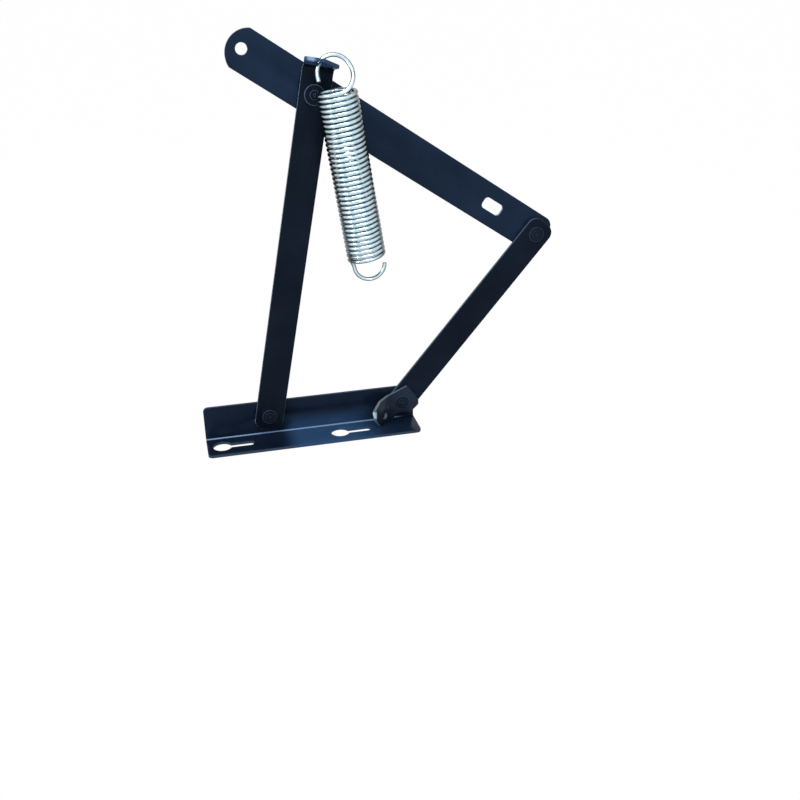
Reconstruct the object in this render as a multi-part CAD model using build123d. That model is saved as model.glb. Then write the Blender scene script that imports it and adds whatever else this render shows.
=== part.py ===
from build123d import *
from math import acos, atan2, cos, degrees, hypot, pi, radians, sin, sqrt, tan
import os

# Sofa bed hinge: a four-bar linkage of flat steel links on an angle-section base, with a helper
# spring hung on a bent tab of the long link. Units are millimetres and degrees.
# The hinge stands on the underside of its base angle: X runs along the base, Z is up, and the
# side with the spring and the rivet heads faces -Y.

# Driving dimensions of the linkage
pivot_spacing = 145.0  # between the two pivots on the base web
long_link_length = 335.0  # pivot to pivot
short_link_length = 230.0
coupler_pivot_spacing = 275.0
long_link_angle = 78.9  # of the raised hinge, measured from the base

# Base angle
sheet = 3.0  # every plate is cut from the same gauge
base_length = 228.0
base_leg = 40.0  # outside size of both legs
bend_inner_radius = 1.5
base_corner_radius = 5.0
base_left_overhang = 69.0  # from the left end of the base to the long link's pivot
pivot_height = 24.0  # of both base pivots over the underside

# Keyhole slots in the floor leg
keyhole_head_radius = 10.0
keyhole_slot_width = 9.0
keyhole_run = 29.0  # from the centre of the round head to the centre of the slot's end
keyhole_spacing = 126.0
keyhole_end_distance = 16.0  # from the left end of the base to the first head's centre

# Links
link_width = 30.0
link_end_overhang = 15.0
link_end_radius = 10.0

# Coupler bar, which carries the moving frame of the bed
coupler_width = 40.0
coupler_tail = 77.5  # from the long link's pivot to the hole in the free end
coupler_tail_hole_radius = 5.5
coupler_tail_overhang = 14.0  # from that hole to the free end
coupler_tail_end_radius = 22.5  # a wider arc than the bar, so it meets the sides at two corners
coupler_nose_overhang = 12.0
coupler_nose_radius = 10.0
coupler_slot_distance = 58.0  # from the short link's pivot to the slot's centre
coupler_slot_length = 23.0
coupler_slot_width = 12.0
coupler_slot_corner_radius = 4.0

# Rivets and washers
shank_radius = 4.0
shank_clearance = 0.05  # radial, in every pivot hole
side_play = 0.1  # along the pin, at each sliding face
spacer_thickness = 1.0
spacer_radius = 9.5
head_height = 1.1
head_chamfer = 0.4
head_groove_radius = 4.6
head_groove_width = 0.8
head_groove_depth = 0.25
plain_head_radius = 8.0
wide_head_radius = 9.8  # the rivet beside the spring
tail_head_radius = 7.0
tail_head_height = 1.8

# Spring tab, bent forward at the top of the long link
tab_height = 33.7  # from the top pivot to the outer face of the tab, at its hole
tab_rise = 16.0  # the tab slopes up this much towards its front edge
tab_bend_radius = 5.0
tab_hole_radius = 4.8
tab_hole_offset = -3.4  # across the link, from its centre line
tab_edge = 3.0  # metal between the hole and the front edge
tab_left_flare = 4.5  # its front corner stands out this far beyond the link's left edge
tab_right_flare = 2.3  # and the corner beside the spring beyond the right edge
tab_corner_radius = 4.0
tab_cut_reach = 17.0  # the corner beside the spring is cut off on a slant, this far back
tab_cut_width = 15.0  # and this far across

# Extension spring
wire_diameter = 4.0
spring_outer_diameter = 39.0
spring_pitch = 4.575
spring_turns = 35.25
spring_angle = 98.5  # of the spring's axis, from the base
spring_clearance = 0.4  # between the coils and the rivet head behind them
ring_width = 32.6  # of the full ring on top, measured on the wire's centre line
ring_height = 36.8
ring_lean = 29.7  # the ring starts at the front of the coil and leans back over its axis
ring_hang_angle = 40.0  # from the ring's top to where it passes through the tab
hook_width = 31.2
hook_shift = 2.4  # the hook's middle lies this much to the right of the coil's axis
hook_depth = 15.5
hook_stop = 8.0  # how far short of the hook's half turn the free end is cut off
hook_bend_radius = 6.0
hook_drop = 5.3  # from that bend down to the hook's middle

# Spring anchor, welded to the floor leg in front of the short link
anchor_bend_distance = 15.0  # from the short link's base pivot to the bend
anchor_bend_angle = 45.0
anchor_bend_radius = 2.0
anchor_right_reach = 18.3
anchor_peak_reach = 5.5
anchor_peak_height = 18.5  # over the pivot
anchor_shoulder_height = 9.5
anchor_right_height = 0.5
anchor_right_drop = 4.5  # below the pivot
anchor_lower_reach = 10.0
anchor_lower_edge = 12.5  # below the pivot
anchor_heel_reach = 6.0
anchor_foot_reach = 12.0
ear_length = 29.0
ear_tip_height = 22.0  # over the floor leg
ear_top_reach = 16.0
ear_top_height = 30.0
ear_belly_reach = 25.0
ear_belly_height = 10.0
ear_foot_length = 17.0
ear_corner_radius = 4.0
ear_hole_radius = 3.8
ear_hole_distance = 8.0  # from the bend
ear_hole_height = 9.5
weld_start = 4.0  # from the bend
weld_length = 10.0
weld_throat = 2.4

# Layers through the hinge, from the back (+Y) to the front (-Y)
web_back = base_leg / 2
web_front = web_back - sheet
link_back = web_front - spacer_thickness - side_play
link_front = link_back - sheet
anchor_back = link_front - side_play
anchor_front = anchor_back - sheet

shank_hole_radius = shank_radius + shank_clearance
floor_top = sheet


def polar(origin, distance, angle):
    """Point in the XZ plane at a distance and an angle from another point."""
    return (
        origin[0] + distance * cos(radians(angle)),
        origin[1] + distance * sin(radians(angle)),
    )


def heading(start, end):
    """Angle of the line between two points of the XZ plane."""
    return degrees(atan2(end[1] - start[1], end[0] - start[0]))


# Pivots, as (x, z)
base_left = -base_length / 2
long_pivot = (base_left + base_left_overhang, pivot_height)
short_pivot = (long_pivot[0] + pivot_spacing, pivot_height)
top_pivot = polar(long_pivot, long_link_length, long_link_angle)

span = hypot(top_pivot[0] - short_pivot[0], top_pivot[1] - short_pivot[1])
span_angle = heading(short_pivot, top_pivot)
opening_cosine = (short_link_length**2 + span**2 - coupler_pivot_spacing**2) / (
    2 * short_link_length * span
)
short_link_angle = span_angle - degrees(acos(opening_cosine))
far_pivot = polar(short_pivot, short_link_length, short_link_angle)
coupler_angle = heading(far_pivot, top_pivot)


def bar_plane(pivot, angle, y):
    """Plane of a bar: its X runs along the bar, its Y across it and its Z to the back."""
    direction = (cos(radians(angle)), 0, sin(radians(angle)))
    return Plane(origin=(pivot[0], y, pivot[1]), x_dir=direction, z_dir=(0, 1, 0))


def rounded_bar(start, end, width, start_radius, end_radius):
    """Outline of a flat bar along X, with the two corners of each end rounded where asked."""
    outline = Pos((start + end) / 2, 0) * Rectangle(end - start, width)
    for side, radius in ((0, start_radius), (-1, end_radius)):
        if radius > 0:
            outline = fillet(outline.vertices().group_by(Axis.X)[side], radius)
    return outline


def keyhole(center_x, center_y):
    head = Pos(center_x, center_y) * Circle(keyhole_head_radius)
    slot_end = Pos(center_x + keyhole_run, center_y) * Circle(keyhole_slot_width / 2)
    slot = Pos(center_x + keyhole_run / 2, center_y) * Rectangle(keyhole_run, keyhole_slot_width)
    return head + slot + slot_end


def make_base_angle():
    """Rolled angle: a floor leg with two keyholes and an upright web with the two pivots."""
    section = Plane.YZ * Polyline(
        (-web_back, 0),
        (web_back, 0),
        (web_back, base_leg),
        (web_front, base_leg),
        (web_front, sheet),
        (-web_back, sheet),
        close=True,
    )
    angle = Pos(base_left, 0, 0) * extrude(make_face(section), base_length, dir=(1, 0, 0))
    along = angle.edges().filter_by(Axis.X)
    inner = along.sort_by_distance((0, web_front, sheet))[0]
    angle = fillet(inner, bend_inner_radius)
    outer = angle.edges().filter_by(Axis.X).sort_by_distance((0, web_back, 0))[0]
    angle = fillet(outer, bend_inner_radius + sheet)
    front_corners = angle.edges().filter_by(Axis.Z).group_by(Axis.Y)[0]
    angle = fillet(front_corners, base_corner_radius)
    top_corners = angle.edges().filter_by(Axis.Y).group_by(Axis.Z)[-1]
    angle = fillet(top_corners, base_corner_radius)
    floor_middle = (web_front - web_back) / 2
    for index in range(2):
        head_x = base_left + keyhole_end_distance + index * keyhole_spacing
        angle -= extrude(keyhole(head_x, floor_middle), floor_top)
    for pivot in (long_pivot, short_pivot):
        angle -= pivot_hole(pivot, web_front, sheet)
    return angle


def pivot_hole(pivot, y, depth):
    return extrude(bar_plane(pivot, 0, y) * Circle(shank_hole_radius), depth)


# The tab's reach follows from the spring, which lies just in front of the rivet head
coil_radius = (spring_outer_diameter - wire_diameter) / 2
head_front = link_front - side_play - head_height
spring_y = head_front - spring_clearance - spring_outer_diameter / 2
ring_hang_rise = ring_height / 2 * (1 + cos(radians(ring_hang_angle)))
ring_hang = (
    -ring_width / 2 * sin(radians(ring_hang_angle)),
    -coil_radius + ring_hang_rise * sin(radians(ring_lean)),
    ring_hang_rise * cos(radians(ring_lean)),
)
tab_hole_y = spring_y + ring_hang[1]
tab_outer = long_link_length + tab_height
tab_inner = tab_outer - sheet


def tab_outline(back_reach):
    """The tab laid flat: X runs from its hole's centre to the front edge, and Y to the spring's side."""
    front = tab_hole_radius + tab_edge
    side = link_width / 2
    flare_start = tab_bend_radius + sheet - back_reach
    outline = make_face(
        Polyline(
            (-back_reach, -side),
            (flare_start, -side),
            (front, -side - tab_left_flare),
            (front, side - tab_cut_width),
            (front - tab_cut_reach, side + tab_right_flare),
            (flare_start, side),
            (-back_reach, side),
            close=True,
        )
    )
    corners = outline.vertices().sort_by(Axis.X)[4:]
    outline = fillet(corners, tab_corner_radius)
    return outline - Pos(0, tab_hole_offset) * Circle(tab_hole_radius)


def make_long_link():
    """Flat link whose top is bent forward, and a little up, into the tab for the spring."""
    plane = bar_plane(long_pivot, long_link_angle, link_front)
    rise = radians(tab_rise)
    hole_depth = link_front - tab_hole_y
    fold_outside = tab_outer - (hole_depth + sheet) * tan(rise)
    fold_inside = tab_outer - hole_depth * tan(rise) - sheet / cos(rise)
    bar = rounded_bar(-link_end_overhang, fold_outside, link_width, link_end_radius, 0)
    tab_plane = Plane(
        origin=(tab_outer, 0, -hole_depth),
        x_dir=(sin(rise), 0, -cos(rise)),
        z_dir=(cos(rise), 0, sin(rise)),
    )
    tab = extrude(tab_plane * tab_outline((hole_depth + sheet) / cos(rise)), -sheet)
    link = extrude(bar, sheet) + tab
    across = link.edges().filter_by(Axis.Y)
    link = fillet(across.sort_by_distance((fold_inside, 0, 0))[0], tab_bend_radius)
    across = link.edges().filter_by(Axis.Y)
    link = fillet(across.sort_by_distance((fold_outside, 0, sheet))[0], tab_bend_radius + sheet)
    for place in (0, long_link_length):
        link -= extrude(Pos(place, 0) * Circle(shank_hole_radius), sheet)
    return plane * link


def make_short_link():
    plane = bar_plane(short_pivot, short_link_angle, link_front)
    outline = rounded_bar(
        -link_end_overhang,
        short_link_length + link_end_overhang,
        link_width,
        link_end_radius,
        link_end_radius,
    )
    for place in (0, short_link_length):
        outline -= Pos(place, 0) * Circle(shank_hole_radius)
    return plane * extrude(outline, sheet)


def make_coupler_bar():
    """Wide bar that carries the moving frame: a slot near the nose and a hole in the tail."""
    plane = bar_plane(far_pivot, coupler_angle, web_front)
    tail_hole_x = coupler_pivot_spacing + coupler_tail
    tail_end = tail_hole_x + coupler_tail_overhang
    round_x = tail_end - coupler_tail_end_radius
    outline = rounded_bar(-coupler_nose_overhang, round_x, coupler_width, coupler_nose_radius, 0)
    tail = Pos(round_x + coupler_tail_end_radius / 2, 0) * Rectangle(
        coupler_tail_end_radius, coupler_width
    )
    outline += tail & Pos(round_x, 0) * Circle(coupler_tail_end_radius)
    outline -= Pos(tail_hole_x, 0) * Circle(coupler_tail_hole_radius)
    outline -= Pos(coupler_slot_distance, 0) * RectangleRounded(
        coupler_slot_length, coupler_slot_width, coupler_slot_corner_radius
    )
    for place in (0, coupler_pivot_spacing):
        outline -= Pos(place, 0) * Circle(shank_hole_radius)
    return plane * extrude(outline, sheet)


def turned(pivot, profile):
    """Solid of revolution about a pivot, from (radius, y) points."""
    face = make_face(Polyline(*profile, close=True))
    return Pos(pivot[0], 0, pivot[1]) * revolve(face, Axis.Y)


def head_profile(seat_y, radius):
    """Front of a spun rivet head, from its rim to its middle, with one shallow groove."""
    front = seat_y - head_height
    groove_in = head_groove_radius - head_groove_width / 2
    groove_out = head_groove_radius + head_groove_width / 2
    return [
        (radius, seat_y),
        (radius, front + head_chamfer),
        (radius - head_chamfer, front),
        (groove_out, front),
        (head_groove_radius, front + head_groove_depth),
        (groove_in, front),
        (0, front),
    ]


def tail_profile():
    back = web_back + tail_head_height
    return [
        (0, back),
        (tail_head_radius - head_chamfer, back),
        (tail_head_radius, back - head_chamfer),
        (tail_head_radius, web_back),
        (shank_radius, web_back),
    ]


def make_rivet(pivot, seat_y, radius):
    """Pin through every layer, with a spun head in front and a tail head behind the web."""
    profile = tail_profile() + [(shank_radius, seat_y)] + head_profile(seat_y, radius)
    return turned(pivot, profile)


def make_spacer(pivot):
    profile = [
        (shank_hole_radius, web_front),
        (spacer_radius, web_front),
        (spacer_radius, web_front - spacer_thickness),
        (shank_hole_radius, web_front - spacer_thickness),
    ]
    return turned(pivot, profile)


def make_far_rivet_tail():
    """Back half of the far rivet, fast in the coupler bar and its spacer."""
    profile = tail_profile() + [
        (shank_radius, web_front - spacer_thickness),
        (0, web_front - spacer_thickness),
    ]
    return turned(far_pivot, profile)


def make_far_rivet_head():
    """Front half of the far rivet, fast in the short link."""
    profile = [(0, link_back), (shank_radius, link_back), (shank_radius, link_front)]
    return turned(far_pivot, profile + head_profile(link_front, plain_head_radius))


anchor_bend_x = short_pivot[0] - anchor_bend_distance
ear_direction = (-cos(radians(anchor_bend_angle)), -sin(radians(anchor_bend_angle)), 0)
ear_outward = (ear_direction[1], -ear_direction[0], 0)  # away from the hollow of the bend


def anchor_blank():
    """Strip of plate, seen from above, that runs across the short link and bends forward."""
    right_x = short_pivot[0] + anchor_right_reach
    top = short_pivot[1] + anchor_peak_height
    reach = 2 * ear_length
    miter = sheet * (1 - cos(radians(anchor_bend_angle))) / sin(radians(anchor_bend_angle))
    hollow_bend = (anchor_bend_x, anchor_front)
    outer_bend = (anchor_bend_x - miter, anchor_back)
    run = (reach * ear_direction[0], reach * ear_direction[1])
    strip = Polyline(
        (right_x, anchor_back),
        outer_bend,
        (outer_bend[0] + run[0], outer_bend[1] + run[1]),
        (hollow_bend[0] + run[0], hollow_bend[1] + run[1]),
        hollow_bend,
        (right_x, anchor_front),
        close=True,
    )
    blank = Pos(0, 0, floor_top) * extrude(make_face(strip), top - floor_top)
    upright = blank.edges().filter_by(Axis.Z)
    blank = fillet(upright.sort_by_distance((*hollow_bend, top / 2))[0], anchor_bend_radius)
    upright = blank.edges().filter_by(Axis.Z)
    return fillet(upright.sort_by_distance((*outer_bend, top / 2))[0], anchor_bend_radius + sheet)


def anchor_face_outline():
    """Front view of the flat that lies over the short link, about the link's base pivot."""
    floor = floor_top - short_pivot[1]
    outline = Polyline(
        (-anchor_bend_distance, floor),
        (-anchor_bend_distance, anchor_shoulder_height),
        (anchor_peak_reach, anchor_peak_height),
        (anchor_right_reach, anchor_right_height),
        (anchor_right_reach, -anchor_right_drop),
        (anchor_lower_reach, -anchor_lower_edge),
        (-anchor_heel_reach, -anchor_lower_edge),
        (-anchor_foot_reach, floor),
        close=True,
    )
    return make_face(outline)


def ear_outline():
    """The ear laid flat: X runs from the bend to its tip, Y up from the floor leg."""
    shoulder = short_pivot[1] + anchor_shoulder_height - floor_top
    outline = Polyline(
        (-sheet, 0),
        (-sheet, shoulder),
        (ear_top_reach, ear_top_height),
        (ear_length, ear_tip_height),
        (ear_belly_reach, ear_belly_height),
        (ear_foot_length, 0),
        close=True,
    )
    ear = make_face(outline)
    tips = ear.vertices().sort_by_distance((ear_length, ear_tip_height, 0))[:1]
    ear = fillet(tips, ear_corner_radius)
    return ear - Pos(ear_hole_distance, ear_hole_height) * Circle(ear_hole_radius)


def make_spring_anchor():
    """Bracket held under the short link's base rivet, with an ear bent forward for the hook."""
    face_plane = Plane(
        origin=(short_pivot[0], anchor_back + sheet, short_pivot[1]), x_dir=(1, 0, 0), z_dir=(0, -1, 0)
    )
    ear_plane = Plane(
        origin=(anchor_bend_x, anchor_front, floor_top), x_dir=ear_direction, z_dir=ear_outward
    )
    face_prism = extrude(face_plane * anchor_face_outline(), 3 * sheet)
    ear_prism = extrude(ear_plane * ear_outline(), 2 * sheet, both=True)
    anchor = anchor_blank() & (face_prism + ear_prism)
    return anchor - pivot_hole(short_pivot, anchor_front, sheet)


def make_anchor_weld():
    """Fillet weld along the outer side of the ear's foot."""
    foot = Vector(anchor_bend_x, anchor_front, floor_top)
    far_end = weld_start + weld_length
    start = foot + Vector(*ear_direction) * far_end + Vector(*ear_outward) * sheet
    section_plane = Plane(origin=start, x_dir=ear_outward, z_dir=Vector(*ear_direction) * -1)
    section = make_face(Polyline((0, 0), (weld_throat, 0), (0, weld_throat), close=True))
    return extrude(section_plane * section, weld_length)


def biarc(start, start_tangent, end, end_tangent):
    """Two arcs that join two points of the wire and keep its direction at both."""
    start, end = Vector(*start), Vector(*end)
    first = Vector(*start_tangent).normalized()
    last = Vector(*end_tangent).normalized()
    chord = end - start
    both = first + last
    spread = 2 * (1 - first.dot(last))
    reach = (-chord.dot(both) + sqrt(chord.dot(both) ** 2 + spread * chord.dot(chord))) / spread
    knee_in = start + first * reach
    knee_out = end - last * reach
    middle = (knee_in + knee_out) * 0.5
    return [
        TangentArc(start, middle, tangent=first),
        TangentArc(middle, end, tangent=knee_out - knee_in),
    ]


def spring_path():
    """Centre line of the wire, in the spring's own frame, from the hook's tip to the ring's.

    X is to the right, Y to the back and Z up the axis, with Z = 0 at the top of the coil.
    """
    bottom = -spring_turns * spring_pitch
    hook_half = hook_width / 2
    hook_z = bottom - hook_bend_radius - hook_drop
    slope = spring_pitch / (2 * pi * coil_radius)
    stop_cosine = cos(radians(hook_stop))
    stop_sine = sin(radians(hook_stop))
    tip = (hook_shift + hook_half * stop_cosine, hook_bend_radius, hook_z - hook_depth * stop_sine)
    hook = [
        (tip, (-hook_half * stop_sine, 0, -hook_depth * stop_cosine)),
        ((hook_shift, hook_bend_radius, hook_z - hook_depth), (-1, 0, 0)),
        ((hook_shift - hook_half, hook_bend_radius, hook_z), (0, 0, 1)),
    ]
    coil = []
    half_turns = int(2 * spring_turns)
    turns = [index / 2 for index in range(half_turns + 1)] + [spring_turns]
    for turn in turns:
        angle = pi + 2 * pi * turn
        place = (coil_radius * cos(angle), coil_radius * sin(angle), bottom + turn * spring_pitch)
        coil.append((place, (-sin(angle), cos(angle), slope)))
    lean = (0, sin(radians(ring_lean)), cos(radians(ring_lean)))
    middle_y = -coil_radius + ring_height / 2 * lean[1]
    middle_z = ring_height / 2 * lean[2]
    ring = [
        ((ring_width / 2, middle_y, middle_z), lean),
        ((0, -coil_radius + ring_height * lean[1], ring_height * lean[2]), (-1, 0, 0)),
        ((-ring_width / 2, middle_y, middle_z), (0, -lean[1], -lean[2])),
    ]
    stations = hook + coil + ring
    edges = []
    for (start, start_tangent), (end, end_tangent) in zip(stations, stations[1:]):
        edges += biarc(start, start_tangent, end, end_tangent)
    ring_end = Vector(*stations[-1][0])
    edges.append(Line(ring_end, ring_end - Vector(*lean) * wire_diameter))
    return edges


def least_gap(edges):
    """Smallest distance between two stretches of the wire that aren't neighbours, less the wire."""
    step_length = 2.0
    points = []
    travelled = 0.0
    for edge in edges:
        steps = max(2, int(edge.length / step_length))
        for step in range(steps):
            points.append((travelled + edge.length * step / steps, edge @ (step / steps)))
        travelled += edge.length
    one_turn = 2 * pi * coil_radius
    least = spring_outer_diameter
    for index, (place, point) in enumerate(points):
        for other_place, other in points[index + 1 :]:
            if other_place - place > 1.5 * one_turn:
                break
            if other_place - place > one_turn / 4:
                least = min(least, (other - point).length)
    return least - wire_diameter


def spring_frame():
    """Places the spring's own frame so that its ring passes through the middle of the tab's hole."""
    tab_middle = polar(long_pivot, tab_inner + sheet / 2, long_link_angle)
    hole = polar(tab_middle, tab_hole_offset, long_link_angle - 90)
    up = Vector(cos(radians(spring_angle)), 0, sin(radians(spring_angle)))
    right = Vector(sin(radians(spring_angle)), 0, -cos(radians(spring_angle)))
    origin = Vector(hole[0], tab_hole_y, hole[1]) - right * ring_hang[0] - up * ring_hang[2]
    origin -= Vector(0, ring_hang[1], 0)
    return Plane(origin=origin, x_dir=right, z_dir=up)


def make_extension_spring():
    edges = spring_path()
    path = Wire(edges)
    section = Plane(origin=path @ 0, z_dir=path % 0) * Circle(wire_diameter / 2)
    spring = sweep(section, path=path)
    length = sum(edge.length for edge in edges)
    expected = length * pi * wire_diameter**2 / 4
    print(f"spring: wire length {length:.1f}, least gap {least_gap(edges):.2f}")
    print(f"spring: volume {spring.volume:.0f}, section times length {expected:.0f}")
    return spring_frame() * spring


nodes = {
    "base_angle": make_base_angle(),
    "spring_anchor": make_spring_anchor(),
    "anchor_weld": make_anchor_weld(),
    "long_link": make_long_link(),
    "short_link": make_short_link(),
    "coupler_bar": make_coupler_bar(),
    "extension_spring": make_extension_spring(),
    "long_link_base_rivet": make_rivet(long_pivot, link_front - side_play, plain_head_radius),
    "short_link_base_rivet": make_rivet(short_pivot, anchor_front, plain_head_radius),
    "top_rivet": make_rivet(top_pivot, link_front - side_play, wide_head_radius),
    "far_rivet_tail": make_far_rivet_tail(),
    "far_rivet_head": make_far_rivet_head(),
    "long_link_base_spacer": make_spacer(long_pivot),
    "short_link_base_spacer": make_spacer(short_pivot),
    "top_spacer": make_spacer(top_pivot),
    "far_spacer": make_spacer(far_pivot),
}

os.makedirs("parts", exist_ok=True)
for name, solid in nodes.items():
    export_step(solid, f"parts/{name}.step")

for name, pivot in (
    ("long_pivot", long_pivot),
    ("short_pivot", short_pivot),
    ("top_pivot", top_pivot),
    ("far_pivot", far_pivot),
):
    print(f"{name}: x {pivot[0]:.2f}, z {pivot[1]:.2f}")
print(f"short link angle {short_link_angle:.2f}, coupler angle {coupler_angle:.2f}")
print(f"tab hole y {tab_hole_y:.2f}, spring y {spring_y:.2f}")
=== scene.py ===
import bmesh
import bpy
import math
from mathutils import Matrix, Vector
from mathutils.bvhtree import BVHTree


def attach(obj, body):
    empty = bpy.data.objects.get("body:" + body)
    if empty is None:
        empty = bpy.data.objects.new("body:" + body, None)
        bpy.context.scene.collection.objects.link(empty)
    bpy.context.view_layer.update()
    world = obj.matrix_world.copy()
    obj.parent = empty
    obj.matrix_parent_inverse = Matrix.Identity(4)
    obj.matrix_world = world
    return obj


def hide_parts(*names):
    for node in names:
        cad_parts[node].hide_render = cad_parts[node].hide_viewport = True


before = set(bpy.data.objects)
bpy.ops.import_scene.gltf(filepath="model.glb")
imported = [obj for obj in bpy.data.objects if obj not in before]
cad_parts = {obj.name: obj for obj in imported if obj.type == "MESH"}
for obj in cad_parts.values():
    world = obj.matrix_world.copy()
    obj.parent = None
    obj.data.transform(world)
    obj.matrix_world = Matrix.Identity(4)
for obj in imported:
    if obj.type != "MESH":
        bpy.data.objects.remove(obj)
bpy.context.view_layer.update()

# The base is a length of 40 mm angle, rolled from 3 mm steel, with two keyholes pierced in its floor
# leg. It is stoved in a gloss blue-black paint, which lies thinner and duller on the sheared edges, drawn
# lighter there as worn paint with a painted edge highlight.

mm = 0.001
sheet = 3.0 * mm
edge_rounding = 0.35 * mm
edge_steps = 3
plate_fold_angle = math.radians(30)
flat_angle = math.radians(0.5)
joined_points_distance = 0.001 * mm
ray_start_depth = 0.02 * mm
cut_edge_ratio = 1.2
film_patch_scale = 16.0
edge_patch_scale = 900.0
gloss_patch_scale = 45.0
edge_extra_roughness = 0.14
peel_scale = 420.0
peel_height = 0.025 * mm


def shader(material, kind, **inputs):
    """A node of the material, with the values that are written on its own sockets."""
    node = material.node_tree.nodes.new(kind)
    for socket, value in inputs.items():
        node.inputs[socket.replace("_", " ")].default_value = value
    return node


def blue_black_paint(name, thin_film, deep_film, edge_wear_and_highlight, specular):
    """Gloss paint: two depths of blue, fine orange peel, and a duller, lighter film on the sheared edges,
    as worn paint with a painted edge highlight.
    """
    material = bpy.data.materials.new(name)
    material.use_nodes = True
    link = material.node_tree.links.new
    paint = material.node_tree.nodes["Principled BSDF"]
    paint.inputs["IOR"].default_value = 1.5
    paint.inputs["Specular IOR Level"].default_value = specular
    paint.inputs["Specular Tint"].default_value = (0.5, 0.74, 1.0, 1.0)
    place = shader(material, "ShaderNodeTexCoord")

    film = shader(material, "ShaderNodeTexNoise", Scale=film_patch_scale, Detail=3.0, Roughness=0.55)
    depth = shader(material, "ShaderNodeValToRGB")
    depth.color_ramp.elements[0].position = 0.35
    depth.color_ramp.elements[0].color = (*deep_film, 1.0)
    depth.color_ramp.elements[1].position = 0.7
    depth.color_ramp.elements[1].color = (*thin_film, 1.0)
    link(place.outputs["Object"], film.inputs["Vector"])
    link(film.outputs["Fac"], depth.inputs["Fac"])

    sheared = shader(material, "ShaderNodeAttribute")
    sheared.attribute_name = "sheared"
    drag = shader(material, "ShaderNodeTexNoise", Scale=edge_patch_scale, Detail=2.0)
    link(place.outputs["Object"], drag.inputs["Vector"])
    patchy = shader(material, "ShaderNodeMapRange", From_Min=0.3, From_Max=0.6, To_Min=0.35, To_Max=1.0)
    link(drag.outputs["Fac"], patchy.inputs["Value"])
    worn_and_highlit = shader(material, "ShaderNodeMath")
    worn_and_highlit.operation = "MULTIPLY"
    link(sheared.outputs["Fac"], worn_and_highlit.inputs[0])
    link(patchy.outputs["Result"], worn_and_highlit.inputs[1])
    colour = shader(material, "ShaderNodeMix")
    colour.data_type = "RGBA"
    mix_factor, mix_film, mix_edge = colour.inputs[0], colour.inputs[6], colour.inputs[7]
    mix_edge.default_value = (*edge_wear_and_highlight, 1.0)
    link(worn_and_highlit.outputs["Value"], mix_factor)
    link(depth.outputs["Color"], mix_film)
    link(colour.outputs[2], paint.inputs["Base Color"])

    cloud = shader(material, "ShaderNodeTexNoise", Scale=gloss_patch_scale, Detail=4.0, Roughness=0.6)
    gloss = shader(material, "ShaderNodeMapRange", From_Min=0.3, From_Max=0.7, To_Min=0.2, To_Max=0.32)
    dull = shader(material, "ShaderNodeMath")
    dull.operation = "MULTIPLY_ADD"
    dull.inputs[1].default_value = edge_extra_roughness
    link(place.outputs["Object"], cloud.inputs["Vector"])
    link(cloud.outputs["Fac"], gloss.inputs["Value"])
    link(sheared.outputs["Fac"], dull.inputs[0])
    link(gloss.outputs["Result"], dull.inputs[2])
    link(dull.outputs["Value"], paint.inputs["Roughness"])

    peel = shader(material, "ShaderNodeTexNoise", Scale=peel_scale, Detail=2.0, Roughness=0.5)
    skin = shader(material, "ShaderNodeBump", Strength=1.0, Distance=peel_height)
    link(place.outputs["Object"], peel.inputs["Vector"])
    link(peel.outputs["Fac"], skin.inputs["Height"])
    link(skin.outputs["Normal"], paint.inputs["Normal"])
    return material


base_paint = blue_black_paint(
    "blue_black_base_paint",
    thin_film=(0.0065, 0.012, 0.026),
    deep_film=(0.0035, 0.0065, 0.015),
    edge_wear_and_highlight=(0.035, 0.05, 0.075),
    specular=0.1,
)


def lay_painted_light(material, painted_light, fades):
    """Lays a painted light colour over the paint's film, where all of its fades are full.

    A fade is an axis and the two places along it, in mm, where it is nothing and where it is full.
    """
    link = material.node_tree.links.new
    paint = material.node_tree.nodes["Principled BSDF"]
    film = paint.inputs["Base Color"].links[0].from_socket
    place = shader(material, "ShaderNodeTexCoord")
    split = shader(material, "ShaderNodeSeparateXYZ")
    link(place.outputs["Object"], split.inputs["Vector"])
    shares = []
    for axis, none_from, full_from in fades:
        share = shader(material, "ShaderNodeMapRange", From_Min=none_from * mm, From_Max=full_from * mm)
        share.interpolation_type = "SMOOTHSTEP"
        link(split.outputs[axis], share.inputs["Value"])
        shares.append(share.outputs["Result"])
    covered = shares[0]
    for share in shares[1:]:
        both = shader(material, "ShaderNodeMath")
        both.operation = "MULTIPLY"
        link(covered, both.inputs[0])
        link(share, both.inputs[1])
        covered = both.outputs["Value"]
    colour = shader(material, "ShaderNodeMix")
    colour.data_type = "RGBA"
    mix_factor, mix_film, mix_extra = colour.inputs[0], colour.inputs[6], colour.inputs[7]
    mix_extra.default_value = (*painted_light, 1.0)
    link(covered, mix_factor)
    link(film, mix_film)
    link(colour.outputs[2], paint.inputs["Base Color"])


# The base's film gets a painted glow of bluer light low between the links, and a painted highlight along
# the inner bend.
painted_glow_between_links = [("X", -36.0, -14.0), ("X", 90.0, 35.0), ("Z", 24.0, 3.0)]
painted_highlight_in_bend = [("Y", 15.6, 16.0), ("Z", 4.2, 3.8), ("X", 104.0, 90.0)]
lay_painted_light(base_paint, painted_light=(0.022, 0.053, 0.112), fades=painted_glow_between_links)
lay_painted_light(base_paint, painted_light=(0.17, 0.24, 0.37), fades=painted_highlight_in_bend)


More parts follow.
